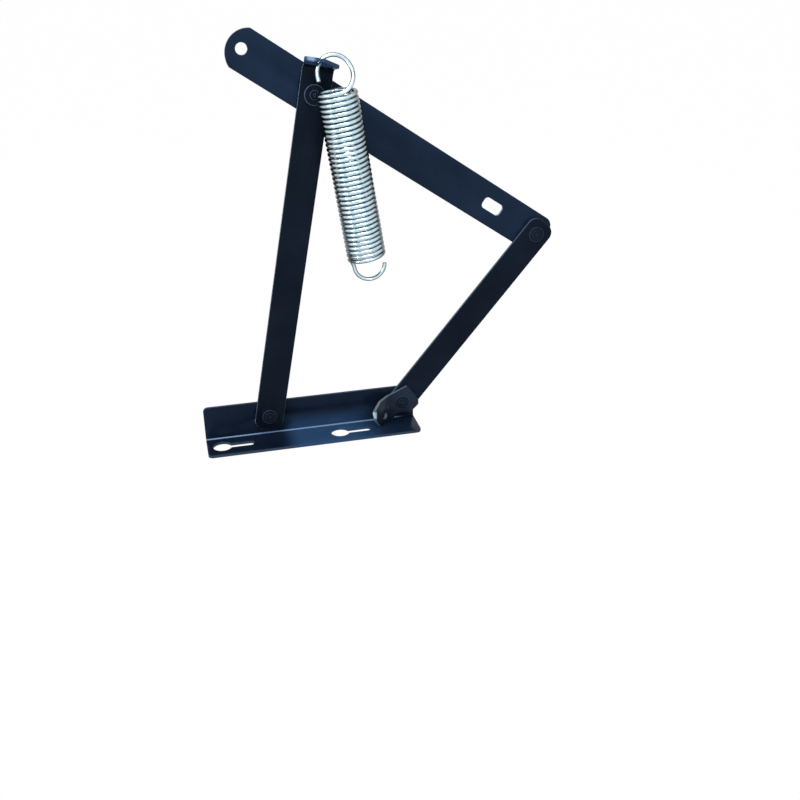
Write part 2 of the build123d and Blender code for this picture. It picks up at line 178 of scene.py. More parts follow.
def round_sheared_edges(node, rounding):
    """A copy of a packed plate with its sharp edges rolled over, as the press and the paint leave them."""
    shape = bmesh.new()
    shape.from_mesh(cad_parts[node].data)
    bmesh.ops.remove_doubles(shape, verts=shape.verts, dist=joined_points_distance)
    bmesh.ops.dissolve_limit(shape, angle_limit=flat_angle, verts=shape.verts, edges=shape.edges)
    mesh = bpy.data.meshes.new(f"{node}_pressed")
    shape.to_mesh(mesh)
    shape.free()
    mesh.shade_smooth()
    plate = bpy.data.objects.new(f"{node}_pressed", mesh)
    bpy.context.scene.collection.objects.link(plate)
    roll = plate.modifiers.new("edge roll", "BEVEL")
    roll.width = rounding
    roll.segments = edge_steps
    roll.limit_method = "ANGLE"
    roll.angle_limit = plate_fold_angle
    roll.harden_normals = True
    return plate


def settle(piece):
    """The piece as its modifiers leave it, as a plain mesh with none of them on it."""
    seen = piece.evaluated_get(bpy.context.evaluated_depsgraph_get())
    mesh = bpy.data.meshes.new_from_object(seen)
    piece.modifiers.clear()
    piece.data = mesh
    mesh.name = piece.name
    return mesh


def mark_sheared_faces(mesh, thickness):
    """Marks the faces that have more steel behind them than the plate is thick: its cut edges."""
    shape = bmesh.new()
    shape.from_mesh(mesh)
    steel = BVHTree.FromBMesh(shape)
    marks = []
    for face in shape.faces:
        inside = face.calc_center_median() - face.normal * ray_start_depth
        hit = steel.ray_cast(inside, -face.normal)
        depth = hit[3] if hit[3] is not None else 0.0
        marks.append(1.0 if depth > cut_edge_ratio * thickness else 0.0)
    shape.free()
    mark = mesh.attributes.new("sheared", "FLOAT", "FACE")
    mark.data.foreach_set("value", marks)


def painted_plate(node, body, paint):
    """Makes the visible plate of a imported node, paints it, and hangs it on its body."""
    plate = round_sheared_edges(node, edge_rounding)
    mesh = settle(plate)
    mark_sheared_faces(mesh, sheet)
    mesh.materials.clear()
    mesh.materials.append(paint)
    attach(plate, body)
    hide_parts(node)


painted_plate("base_angle", "base", base_paint)

# The spring anchor is a small plate over the short link's foot, bent forward into an ear with a hole
# for the spring's hook. The ear stands on the floor leg and is held there by a short run of weld.

anchor_paint = blue_black_paint(
    "blue_black_anchor_paint",
    thin_film=(0.0125, 0.018, 0.03),
    deep_film=(0.004, 0.0065, 0.013),
    edge_wear_and_highlight=(0.13, 0.145, 0.16),
    specular=0.16,
)
# A painted glint: a pale colour laid on the ear's left rim as a highlight.
painted_glint_on_ear_rim = [("X", 68.0, 66.5), ("Z", 25.5, 24.0), ("Z", 16.0, 17.5)]
lay_painted_light(anchor_paint, painted_light=(0.4, 0.52, 0.55), fades=painted_glint_on_ear_rim)
painted_plate("spring_anchor", "base", anchor_paint)

weld_seed = 7
weld_ripples = 11
weld_ripple_spacing = 0.95 * mm
weld_ripple_radius = 1.9 * mm
weld_ripple_segments = 24
weld_ripple_rings = 16
smallest_ripple = (0.5, 0.88, 0.82)
largest_ripple = (0.62, 1.12, 1.08)
weld_start = 3.6 * mm
weld_stand_off = 0.2 * mm
short_pivot = Vector((100.0, 0.0, 24.0)) * mm
ear_bend = Vector((85.0, 9.8, 3.0)) * mm
ear_angle = math.radians(45)
ear_direction = Vector((-math.cos(ear_angle), -math.sin(ear_angle), 0.0))
ear_outward = Vector((ear_direction.y, -ear_direction.x, 0.0))

weld_paint = blue_black_paint(
    "blue_black_weld_paint",
    thin_film=(0.016, 0.022, 0.036),
    deep_film=(0.008, 0.012, 0.02),
    edge_wear_and_highlight=(0.03, 0.04, 0.058),
    specular=0.4,
)


def input_socket(tree, name, kind):
    return tree.interface.new_socket(name, in_out="INPUT", socket_type=kind)


def fill_inputs(modifier, values):
    """Sets a tree's named inputs on the modifier, by the identifiers of their sockets."""
    for item in modifier.node_group.interface.items_tree:
        if item.in_out == "INPUT" and item.name in values:
            modifier[item.identifier] = values[item.name]


def weld_run_tree():
    """Ripples of weld metal laid one on the next along a line, each a little different in size."""
    tree = bpy.data.node_groups.new("weld run", "GeometryNodeTree")
    input_socket(tree, "Geometry", "NodeSocketGeometry")
    input_socket(tree, "Ripples", "NodeSocketInt")
    input_socket(tree, "Ripple Radius", "NodeSocketFloat")
    input_socket(tree, "Start", "NodeSocketVector")
    input_socket(tree, "Step", "NodeSocketVector")
    input_socket(tree, "Turn", "NodeSocketVector")
    input_socket(tree, "Seed", "NodeSocketInt")
    input_socket(tree, "Paint", "NodeSocketMaterial")
    tree.interface.new_socket("Geometry", in_out="OUTPUT", socket_type="NodeSocketGeometry")
    node = tree.nodes.new
    link = tree.links.new
    given = node("NodeGroupInput")
    line = node("GeometryNodeMeshLine")
    link(given.outputs["Ripples"], line.inputs["Count"])
    link(given.outputs["Start"], line.inputs["Start Location"])
    link(given.outputs["Step"], line.inputs["Offset"])
    drop = node("GeometryNodeMeshUVSphere")
    drop.inputs["Segments"].default_value = weld_ripple_segments
    drop.inputs["Rings"].default_value = weld_ripple_rings
    link(given.outputs["Ripple Radius"], drop.inputs["Radius"])
    spread = node("FunctionNodeRandomValue")
    spread.data_type = "FLOAT_VECTOR"
    spread.inputs["Min"].default_value = smallest_ripple
    spread.inputs["Max"].default_value = largest_ripple
    link(given.outputs["Seed"], spread.inputs["Seed"])
    lay = node("GeometryNodeInstanceOnPoints")
    link(line.outputs["Mesh"], lay.inputs["Points"])
    link(drop.outputs["Mesh"], lay.inputs["Instance"])
    link(given.outputs["Turn"], lay.inputs["Rotation"])
    link(spread.outputs["Value"], lay.inputs["Scale"])
    solid = node("GeometryNodeRealizeInstances")
    link(lay.outputs["Instances"], solid.inputs["Geometry"])
    smooth = node("GeometryNodeSetShadeSmooth")
    link(solid.outputs["Geometry"], smooth.inputs["Geometry"])
    painted = node("GeometryNodeSetMaterial")
    link(smooth.outputs["Geometry"], painted.inputs["Geometry"])
    link(given.outputs["Paint"], painted.inputs["Material"])
    made = node("NodeGroupOutput")
    link(painted.outputs["Geometry"], made.inputs["Geometry"])
    return tree


weld = bpy.data.objects.new("anchor_weld_run", bpy.data.meshes.new("anchor_weld_run"))
bpy.context.scene.collection.objects.link(weld)
weld_run = weld.modifiers.new("weld run", "NODES")
weld_run.node_group = weld_run_tree()
fill_inputs(
    weld_run,
    {
        "Ripples": weld_ripples,
        "Ripple Radius": weld_ripple_radius,
        "Start": ear_bend + ear_direction * weld_start + ear_outward * (sheet + weld_stand_off),
        "Step": ear_direction * weld_ripple_spacing,
        "Turn": Vector((0.0, 0.0, ear_angle)),
        "Seed": weld_seed,
        "Paint": weld_paint,
    },
)
settle(weld)
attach(weld, "base")
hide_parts("anchor_weld")

# Each pivot has a washer between the link and the part behind it, stamped from 1 mm strip and
# zinc-plated. Washers and rivets are turned about their pivots from a profile of radii and depths.

washer_thickness = 1.0 * mm
washer_radius = 9.5 * mm
pin_hole_radius = 4.05 * mm
web_front = 17.0 * mm
turning_steps = 96
turned_join_distance = 0.004 * mm
turned_corner_angle = math.radians(32)
long_pivot = Vector((-45.0, 0.0, 24.0)) * mm
top_pivot = Vector((19.494, 0.0, 352.733)) * mm
far_pivot = Vector((248.140, 0.0, 199.945)) * mm

washer_zinc = bpy.data.materials.new("washer_zinc_plate")
washer_zinc.use_nodes = True
plating = washer_zinc.node_tree.nodes["Principled BSDF"]
plating.inputs["Metallic"].default_value = 1.0
washer_place = shader(washer_zinc, "ShaderNodeTexCoord")
washer_cloud = shader(washer_zinc, "ShaderNodeTexNoise", Scale=600.0, Detail=4.0, Roughness=0.6)
washer_tone = shader(washer_zinc, "ShaderNodeValToRGB")
washer_tone.color_ramp.elements[0].color = (0.38, 0.42, 0.46, 1.0)
washer_tone.color_ramp.elements[1].color = (0.6, 0.63, 0.66, 1.0)
washer_gloss = shader(washer_zinc, "ShaderNodeMapRange", To_Min=0.28, To_Max=0.5)
join_washer = washer_zinc.node_tree.links.new
join_washer(washer_place.outputs["Object"], washer_cloud.inputs["Vector"])
join_washer(washer_cloud.outputs["Fac"], washer_tone.inputs["Fac"])
join_washer(washer_cloud.outputs["Fac"], washer_gloss.inputs["Value"])
join_washer(washer_tone.outputs["Color"], plating.inputs["Base Color"])
join_washer(washer_gloss.outputs["Result"], plating.inputs["Roughness"])


def turned_piece_tree():
    """Turns a row of (radius, y) points about a pivot, into one closed skin."""
    tree = bpy.data.node_groups.new("turned piece", "GeometryNodeTree")
    input_socket(tree, "Profile", "NodeSocketGeometry")
    input_socket(tree, "Steps Round", "NodeSocketInt")
    input_socket(tree, "Pivot", "NodeSocketVector")
    input_socket(tree, "Join Within", "NodeSocketFloat")
    input_socket(tree, "Finish", "NodeSocketMaterial")
    tree.interface.new_socket("Geometry", in_out="OUTPUT", socket_type="NodeSocketGeometry")
    node = tree.nodes.new
    link = tree.links.new

    def maths(operation, first, second):
        step = node("ShaderNodeMath")
        step.operation = operation
        for socket, value in zip(step.inputs, (first, second)):
            if isinstance(value, (int, float)):
                socket.default_value = value
            else:
                link(value, socket)
        return step.outputs["Value"]

    given = node("NodeGroupInput")
    steps_round = given.outputs["Steps Round"]
    size = node("GeometryNodeAttributeDomainSize")
    link(given.outputs["Profile"], size.inputs["Geometry"])
    rows = size.outputs["Point Count"]
    skin = node("GeometryNodeMeshGrid")
    link(maths("ADD", steps_round, 1), skin.inputs["Vertices X"])
    link(rows, skin.inputs["Vertices Y"])
    index = node("GeometryNodeInputIndex").outputs["Index"]
    column = maths("FLOOR", maths("DIVIDE", index, rows), 0)
    row = maths("MODULO", index, rows)
    angle = maths("MULTIPLY", maths("DIVIDE", column, steps_round), 2 * math.pi)
    point = node("GeometryNodeSampleIndex")
    point.data_type = "FLOAT_VECTOR"
    link(given.outputs["Profile"], point.inputs["Geometry"])
    link(node("GeometryNodeInputPosition").outputs["Position"], point.inputs["Value"])
    link(row, point.inputs["Index"])
    split = node("ShaderNodeSeparateXYZ")
    link(point.outputs["Value"], split.inputs["Vector"])
    radius = split.outputs["X"]
    spot = node("ShaderNodeCombineXYZ")
    link(maths("MULTIPLY", radius, maths("COSINE", angle, 0)), spot.inputs["X"])
    link(split.outputs["Y"], spot.inputs["Y"])
    link(maths("MULTIPLY", radius, maths("SINE", angle, 0)), spot.inputs["Z"])
    carry = node("ShaderNodeVectorMath")
    link(spot.outputs["Vector"], carry.inputs[0])
    link(given.outputs["Pivot"], carry.inputs[1])
    turn = node("GeometryNodeSetPosition")
    link(skin.outputs["Mesh"], turn.inputs["Geometry"])
    link(carry.outputs["Vector"], turn.inputs["Position"])
    close = node("GeometryNodeMergeByDistance")
    link(turn.outputs["Geometry"], close.inputs["Geometry"])
    link(given.outputs["Join Within"], close.inputs["Distance"])
    whole = node("GeometryNodeRealizeInstances")
    link(close.outputs["Geometry"], whole.inputs["Geometry"])
    finished = node("GeometryNodeSetMaterial")
    link(whole.outputs["Geometry"], finished.inputs["Geometry"])
    link(given.outputs["Finish"], finished.inputs["Material"])
    made = node("NodeGroupOutput")
    link(finished.outputs["Geometry"], made.inputs["Geometry"])
    return tree


lathe = turned_piece_tree()


def turned_piece(name, profile, pivot, finish):
    """A piece turned about its pivot, closed and facing outwards, with its corners kept sharp."""
    mesh = bpy.data.meshes.new(name)
    mesh.from_pydata([(radius, y, 0.0) for radius, y in profile], [], [])
    piece = bpy.data.objects.new(name, mesh)
    bpy.context.scene.collection.objects.link(piece)
    turning = piece.modifiers.new("turning", "NODES")
    turning.node_group = lathe
    fill_inputs(
        turning,
        {
            "Steps Round": turning_steps,
            "Pivot": pivot,
            "Join Within": turned_join_distance,
            "Finish": finish,
        },
    )
    mesh = settle(piece)
    shape = bmesh.new()
    shape.from_mesh(mesh)
    bmesh.ops.recalc_face_normals(shape, faces=shape.faces)
    for face in shape.faces:
        face.smooth = True
    shape.to_mesh(mesh)
    shape.free()
    mesh.set_sharp_from_angle(angle=turned_corner_angle)
    return piece


washer_burr = 0.12 * mm
washer_back = web_front
washer_front = web_front - washer_thickness
washer_profile = [
    (pin_hole_radius, washer_back),
    (washer_radius - washer_burr, washer_back),
    (washer_radius, washer_back - washer_burr),
    (washer_radius, washer_front + washer_burr),
    (washer_radius - washer_burr, washer_front),
    (pin_hole_radius, washer_front),
    (pin_hole_radius, washer_back),
]
washers = {
    "long_link_base_spacer": (long_pivot, "base"),
    "short_link_base_spacer": (short_pivot, "base"),
    "top_spacer": (top_pivot, "coupler"),
    "far_spacer": (far_pivot, "coupler"),
}
for node_name, (pivot, body) in washers.items():
    washer = turned_piece(f"{node_name}_washer", washer_profile, pivot, washer_zinc)
    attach(washer, body)
    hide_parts(node_name)

# The long link is a 30 mm flat whose top is bent forward into the tab that carries the spring. The
# short link is a plain flat, and the coupler bar a 40 mm flat with a hole in its tail and a slot.

link_films = {
    "thin_film": (0.006, 0.0085, 0.0165),
    "deep_film": (0.003, 0.0048, 0.009),
    "specular": 0.08,
}
# The plates' edge colours are lighter than worn paint alone: they are also a painted highlight along the
# sheared edges.
link_paint = blue_black_paint(
    "blue_black_link_paint", edge_wear_and_highlight=(0.25, 0.31, 0.38), **link_films
)
short_link_paint = blue_black_paint(
    "blue_black_short_link_paint", edge_wear_and_highlight=(0.07, 0.095, 0.13), **link_films
)
coupler_paint = blue_black_paint(
    "blue_black_coupler_paint",
    thin_film=(0.0105, 0.0185, 0.039),
    deep_film=(0.006, 0.0115, 0.024),
    edge_wear_and_highlight=(0.16, 0.21, 0.28),
    specular=0.1,
)
# Painted light on the long link: a bluer painted sheen under the tab and a painted highlight near its
# corner.
painted_sheen_under_tab = [("Y", 7.0, -3.0)]
painted_highlight_near_tab_corner = [("Y", -12.5, -14.5), ("X", 18.5, 15.0), ("X", 8.5, 11.5)]
lay_painted_light(link_paint, painted_light=(0.028, 0.05, 0.105), fades=painted_sheen_under_tab)
lay_painted_light(link_paint, painted_light=(0.2, 0.27, 0.4), fades=painted_highlight_near_tab_corner)
painted_plate("long_link", "long_link", link_paint)
painted_plate("short_link", "short_link", short_link_paint)
painted_plate("coupler_bar", "coupler", coupler_paint)

# The rivets are 8 mm steel pins. Each front head is spun over by a turning tool, which leaves a ring
# groove, fine circles and a small dimple in the middle. The tail head behind is plain.

shank_radius = 4.0 * mm
web_back = 20.0 * mm
link_back = 15.9 * mm
link_front = 12.9 * mm
side_play = 0.1 * mm
anchor_front = 9.8 * mm
head_height = 1.1 * mm
head_edge = 0.4 * mm
head_edge_steps = 4
tool_circle_pitch = 1.3 * mm
tool_circle_depth = 0.06 * mm
head_groove_radius = 4.6 * mm
head_groove_width = 0.8 * mm
head_groove_depth = 0.25 * mm
dimple_radius = 1.5 * mm
dimple_depth = 0.35 * mm
profile_step = 0.07 * mm
plain_head_radius = 8.0 * mm
wide_head_radius = 9.8 * mm
tail_head_radius = 7.0 * mm
tail_head_height = 1.8 * mm
worn_and_highlit_rim_width = 0.6 * mm
worn_and_highlit_line_width = 0.4 * mm

# The rivets' lighter edge colour on their rims, grooves and dimples is worn paint with a painted
# highlight.
rivet_paint = blue_black_paint(
    "blue_black_rivet_paint",
    thin_film=(0.006, 0.009, 0.018),
    deep_film=(0.003, 0.005, 0.01),
    edge_wear_and_highlight=(0.16, 0.21, 0.29),
    specular=0.1,
)


def mark_worn_and_highlit_rings(mesh, pivot, head_radius, wear_and_highlight):
    """Marks the head's rim, its groove and its dimple, where the spinning tool left bright metal, for a
    lighter colour that is also a painted highlight.
    """
    rings = [
        (head_radius - worn_and_highlit_rim_width, head_radius + worn_and_highlit_line_width),
        (head_groove_radius - worn_and_highlit_line_width, head_groove_radius),
        (dimple_radius - worn_and_highlit_line_width, dimple_radius),
    ]
    marks = []
    for face in mesh.polygons:
        radius = math.hypot(face.center.x - pivot.x, face.center.z - pivot.z)
        on_front = face.center.y < link_front
        worn_and_highlit = any(inner < radius < outer for inner, outer in rings)
        marks.append(wear_and_highlight if on_front and worn_and_highlit else 0.0)
    mark = mesh.attributes.new("sheared", "FLOAT", "FACE")
    mark.data.foreach_set("value", marks)


def dip(distance, width):
    """Share of a groove's depth at a distance from its middle: a smooth hollow, level at its rims."""
    if distance >= width:
        return 0.0
    return 0.5 + 0.5 * math.cos(math.pi * distance / width)


def spun_head(seat, head_radius):
    """Profile of a spun head, from its seat round the rim and in to the middle."""
    front = seat - head_height
    profile = [(head_radius, seat)]
    for step in range(head_edge_steps + 1):
        angle = math.pi / 2 * step / head_edge_steps
        radius = head_radius - head_edge * (1 - math.cos(angle))
        profile.append((radius, front + head_edge * (1 - math.sin(angle))))
    flat_radius = head_radius - head_edge
    steps = int(flat_radius / profile_step)
    for step in range(1, steps + 1):
        radius = flat_radius * (1 - step / steps)
        circles = 0.5 - 0.5 * math.cos(2 * math.pi * (flat_radius - radius) / tool_circle_pitch)
        groove = dip(abs(radius - head_groove_radius), head_groove_width / 2)
        depth = tool_circle_depth * circles
        depth += head_groove_depth * groove
        depth += dimple_depth * dip(radius, dimple_radius)
        profile.append((radius, front + depth))
    return profile


def tail_head():
    """Profile of the plain tail head, from its middle out to the pin behind the web."""
    back = web_back + tail_head_height
    profile = [(0.0, back)]
    for step in range(head_edge_steps + 1):
        angle = math.pi / 2 * step / head_edge_steps
        radius = tail_head_radius - head_edge * (1 - math.sin(angle))
        profile.append((radius, back - head_edge * (1 - math.cos(angle))))
    return profile + [(tail_head_radius, web_back), (shank_radius, web_back)]


link_seat = link_front - side_play
light_wear_and_highlight = 0.16
heavy_wear_and_highlight = 0.55
rivets = {
    "long_link_base_rivet": ("base", long_pivot, link_seat, plain_head_radius, light_wear_and_highlight),
    "short_link_base_rivet": ("base", short_pivot, anchor_front, plain_head_radius, light_wear_and_highlight),
    "top_rivet": ("coupler", top_pivot, link_seat, wide_head_radius, heavy_wear_and_highlight),
}
for node_name, (body, pivot, seat, head_radius, wear_and_highlight) in rivets.items():
    pin = [(shank_radius, seat)]
    profile = tail_head() + pin + spun_head(seat, head_radius)
    rivet = turned_piece(f"{node_name}_spun", profile, pivot, rivet_paint)
    mark_worn_and_highlit_rings(rivet.data, pivot, head_radius, wear_and_highlight)
    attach(rivet, body)
    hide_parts(node_name)

far_tail_profile = tail_head() + [(shank_radius, washer_front), (0.0, washer_front)]
far_tail = turned_piece("far_rivet_tail_spun", far_tail_profile, far_pivot, rivet_paint)
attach(far_tail, "coupler")
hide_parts("far_rivet_tail")

far_head_profile = [(0.0, link_back), (shank_radius, link_back), (shank_radius, link_front)]
far_head_profile += spun_head(link_front, plain_head_radius)
far_head = turned_piece("far_rivet_head_spun", far_head_profile, far_pivot, rivet_paint)
mark_worn_and_highlit_rings(far_head.data, far_pivot, plain_head_radius, light_wear_and_highlight)
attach(far_head, "short_link")
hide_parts("far_rivet_head")

# The helper spring is wound from 4 mm bright zinc-plated wire. Its last turn rises into a full ring
# that hangs in the tab, and the wire leaves the bottom through a bend into an open hook.

wire_diameter = 4.0 * mm
wire_sides = 20
spring_outer_diameter = 39.0 * mm
coil_radius = (spring_outer_diameter - wire_diameter) / 2
spring_pitch = 4.575 * mm
spring_turns = 35.25
ring_width = 32.6 * mm
ring_height = 36.8 * mm
ring_lean = math.radians(29.7)
ring_hang_angle = math.radians(40)
hook_width = 31.2 * mm
hook_shift = 2.4 * mm
hook_depth = 15.5 * mm
hook_stop = math.radians(8)
hook_bend_radius = 6.0 * mm
hook_drop = 5.3 * mm
spring_angle = math.radians(98.5)
tab_hole = Vector((22.358, -9.6, 384.985)) * mm
wire_line_steps = 12
wire_corner_angle = math.radians(50)
die_line_scale = 18.0
die_line_depth = 0.02 * mm
zinc_cloud_scale = 260.0
painted_reflection_from = 0.2
painted_reflection_full = 0.62
painted_reflection_share = 0.93

# The heights where the painted dark reflection on the wire's sides begins to strengthen and where it does
# so in full, and how much.
darker_painted_reflection_on_hook = (206.0 * mm, 198.0 * mm, 2.3)
darker_painted_reflection_on_ring = (368.0 * mm, 374.0 * mm, 1.6)

spring_zinc = bpy.data.materials.new("bright_zinc_wire")
spring_zinc.use_nodes = True
zinc = spring_zinc.node_tree.nodes["Principled BSDF"]
zinc.inputs["Metallic"].default_value = 1.0
wire_place = shader(spring_zinc, "ShaderNodeTexCoord")
along = shader(spring_zinc, "ShaderNodeAttribute")
along.attribute_name = "along"
around = shader(spring_zinc, "ShaderNodeAttribute")
around.attribute_name = "around"
die_place = shader(spring_zinc, "ShaderNodeCombineXYZ")
die_lines = shader(spring_zinc, "ShaderNodeTexNoise", Scale=die_line_scale, Detail=3.0, Roughness=0.6)
zinc_cloud = shader(spring_zinc, "ShaderNodeTexNoise", Scale=zinc_cloud_scale, Detail=3.0)
zinc_cloud.inputs["Roughness"].default_value = 0.55
zinc_tone = shader(spring_zinc, "ShaderNodeValToRGB")
zinc_tone.color_ramp.elements[0].position = 0.3
zinc_tone.color_ramp.elements[0].color = (0.46, 0.64, 0.73, 1.0)
zinc_tone.color_ramp.elements[1].position = 0.72
zinc_tone.color_ramp.elements[1].color = (0.72, 0.87, 0.93, 1.0)
zinc_gloss = shader(spring_zinc, "ShaderNodeMapRange", To_Min=0.12, To_Max=0.24)
die_marks = shader(spring_zinc, "ShaderNodeBump", Strength=0.6, Distance=die_line_depth)
join_zinc = spring_zinc.node_tree.links.new
join_zinc(along.outputs["Fac"], die_place.inputs["X"])
join_zinc(around.outputs["Fac"], die_place.inputs["Y"])
join_zinc(die_place.outputs["Vector"], die_lines.inputs["Vector"])
join_zinc(wire_place.outputs["Object"], zinc_cloud.inputs["Vector"])
join_zinc(zinc_cloud.outputs["Fac"], zinc_tone.inputs["Fac"])
join_zinc(die_lines.outputs["Fac"], zinc_gloss.inputs["Value"])
join_zinc(die_lines.outputs["Fac"], die_marks.inputs["Height"])
# The wire's sides that turn away from the view are painted dark, as a painted reflection of dark
# surroundings.
wire_facing = shader(spring_zinc, "ShaderNodeLayerWeight", Blend=0.5)
dark_painted_reflection = shader(spring_zinc, "ShaderNodeMapRange", From_Min=painted_reflection_from, From_Max=painted_reflection_full)
dark_painted_reflection.inputs["To Max"].default_value = painted_reflection_share
wire_colour = shader(spring_zinc, "ShaderNodeMix")
wire_colour.data_type = "RGBA"
painted_reflection_mix, middle_tone, painted_reflection_tone = wire_colour.inputs[0], wire_colour.inputs[6], wire_colour.inputs[7]
painted_reflection_tone.default_value = (0.085, 0.1, 0.11, 1.0)
wire_split = shader(spring_zinc, "ShaderNodeSeparateXYZ")
join_zinc(wire_place.outputs["Object"], wire_split.inputs["Vector"])
facing = wire_facing.outputs["Facing"]
for none_from, full_from, steepness in (darker_painted_reflection_on_hook, darker_painted_reflection_on_ring):
    free_end = shader(spring_zinc, "ShaderNodeMapRange", From_Min=none_from, From_Max=full_from)
    free_end.inputs["To Min"].default_value = 1.0
    free_end.inputs["To Max"].default_value = steepness
    steeper = shader(spring_zinc, "ShaderNodeMath")
    steeper.operation = "MULTIPLY"
    join_zinc(wire_split.outputs["Z"], free_end.inputs["Value"])
    join_zinc(free_end.outputs["Result"], steeper.inputs[0])
    join_zinc(facing, steeper.inputs[1])
    facing = steeper.outputs["Value"]
join_zinc(facing, dark_painted_reflection.inputs["Value"])
join_zinc(dark_painted_reflection.outputs["Result"], painted_reflection_mix)
join_zinc(zinc_tone.outputs["Color"], middle_tone)
join_zinc(wire_colour.outputs[2], zinc.inputs["Base Color"])
join_zinc(zinc_gloss.outputs["Result"], zinc.inputs["Roughness"])
join_zinc(die_marks.outputs["Normal"], zinc.inputs["Normal"])


def spring_stations():
    """Places and directions of the wire in the spring's own frame, from the hook's tip to the ring's.

    X is to the right, Y to the back and Z up the axis, with Z = 0 at the top of the coil.
    """
    bottom = -spring_turns * spring_pitch
    hook_half = hook_width / 2
    hook_z = bottom - hook_bend_radius - hook_drop
    slope = spring_pitch / (2 * math.pi * coil_radius)
    hook_middle = Vector((hook_shift, hook_bend_radius, hook_z))
    stop_cosine = math.cos(hook_stop)
    stop_sine = math.sin(hook_stop)
    stations = [
        (
            hook_middle + Vector((hook_half * stop_cosine, 0, -hook_depth * stop_sine)),
            Vector((-hook_half * stop_sine, 0, -hook_depth * stop_cosine)),
        ),
        (hook_middle - Vector((0, 0, hook_depth)), Vector((-1, 0, 0))),
        (hook_middle - Vector((hook_half, 0, 0)), Vector((0, 0, 1))),
    ]
    quarters = int(spring_turns * 4)
    for quarter in range(quarters + 1):
        angle = math.pi + math.pi / 2 * quarter
        place = Vector((math.cos(angle), math.sin(angle), 0)) * coil_radius
        place.z = bottom + quarter / 4 * spring_pitch
        stations.append((place, Vector((-math.sin(angle), math.cos(angle), slope))))
    lean = Vector((0, math.sin(ring_lean), math.cos(ring_lean)))
    foot = Vector((0, -coil_radius, 0))
    side = Vector((ring_width / 2, 0, 0))
    ring_end = foot - side + lean * ring_height / 2
    stations += [
        (foot + side + lean * ring_height / 2, lean),
        (foot + lean * ring_height, Vector((-1, 0, 0))),
        (ring_end, -lean),
        (ring_end - lean * wire_diameter, -lean),
    ]
    return [(place, direction.normalized()) for place, direction in stations]


def hung_spring_frame():
    """Carries the spring so that its ring passes through the middle of the tab's hole."""
    up = Vector((math.cos(spring_angle), 0, math.sin(spring_angle)))
    right = Vector((math.sin(spring_angle), 0, -math.cos(spring_angle)))
    back = Vector((0, 1, 0))
    rise = ring_height / 2 * (1 + math.cos(ring_hang_angle))
    across = -ring_width / 2 * math.sin(ring_hang_angle)
    depth = -coil_radius + rise * math.sin(ring_lean)
    origin = tab_hole - right * across - back * depth - up * rise * math.cos(ring_lean)
    turned = Matrix((right, back, up)).transposed().to_4x4()
    return Matrix.Translation(origin) @ turned


def wire_line(stations, place):
    """One smooth spline through the stations, with handles as long as a round arc needs."""
    curve = bpy.data.curves.new("spring_wire_line", "CURVE")
    curve.dimensions = "3D"
    curve.resolution_u = wire_line_steps
    spline = curve.splines.new("BEZIER")
    spline.bezier_points.add(len(stations) - 1)
    points = spline.bezier_points
    for point, (spot, direction) in zip(points, stations):
        point.handle_left_type = "FREE"
        point.handle_right_type = "FREE"
        point.co = place @ spot
        point.handle_left = place @ spot
        point.handle_right = place @ spot
    for index in range(len(stations) - 1):
        (start, leaving), (end, arriving) = stations[index], stations[index + 1]
        turn = leaving.angle(arriving)
        reach = (end - start).length / (3 * math.cos(turn / 4) ** 2)
        points[index].handle_right = place @ (start + leaving * reach)
        points[index + 1].handle_left = place @ (end - arriving * reach)
    return curve


def drawn_wire_tree():
    """Draws round wire along a line and keeps, for its finish, how far along and around each point is."""
    tree = bpy.data.node_groups.new("drawn wire", "GeometryNodeTree")
    input_socket(tree, "Line", "NodeSocketGeometry")
    input_socket(tree, "Wire Radius", "NodeSocketFloat")
    input_socket(tree, "Sides", "NodeSocketInt")
    input_socket(tree, "Finish", "NodeSocketMaterial")
    tree.interface.new_socket("Geometry", in_out="OUTPUT", socket_type="NodeSocketGeometry")
    node = tree.nodes.new
    link = tree.links.new
    given = node("NodeGroupInput")
    section = node("GeometryNodeCurvePrimitiveCircle")
    link(given.outputs["Sides"], section.inputs["Resolution"])
    link(given.outputs["Wire Radius"], section.inputs["Radius"])
    parameter = node("GeometryNodeSplineParameter")

    def keep(geometry, name, value):
        store = node("GeometryNodeStoreNamedAttribute")
        store.data_type = "FLOAT"
        store.domain = "POINT"
        store.inputs["Name"].default_value = name
        link(geometry, store.inputs["Geometry"])
        link(value, store.inputs["Value"])
        return store.outputs["Geometry"]

    line = keep(given.outputs["Line"], "along", parameter.outputs["Length"])
    ring = keep(section.outputs["Curve"], "around", parameter.outputs["Factor"])
    draw = node("GeometryNodeCurveToMesh")
    draw.inputs["Fill Caps"].default_value = True
    link(line, draw.inputs["Curve"])
    link(ring, draw.inputs["Profile Curve"])
    smooth = node("GeometryNodeSetShadeSmooth")
    link(draw.outputs["Mesh"], smooth.inputs["Geometry"])
    whole = node("GeometryNodeRealizeInstances")
    link(smooth.outputs["Geometry"], whole.inputs["Geometry"])
    plated = node("GeometryNodeSetMaterial")
    link(whole.outputs["Geometry"], plated.inputs["Geometry"])
    link(given.outputs["Finish"], plated.inputs["Material"])
    made = node("NodeGroupOutput")
    link(plated.outputs["Geometry"], made.inputs["Geometry"])
    return tree


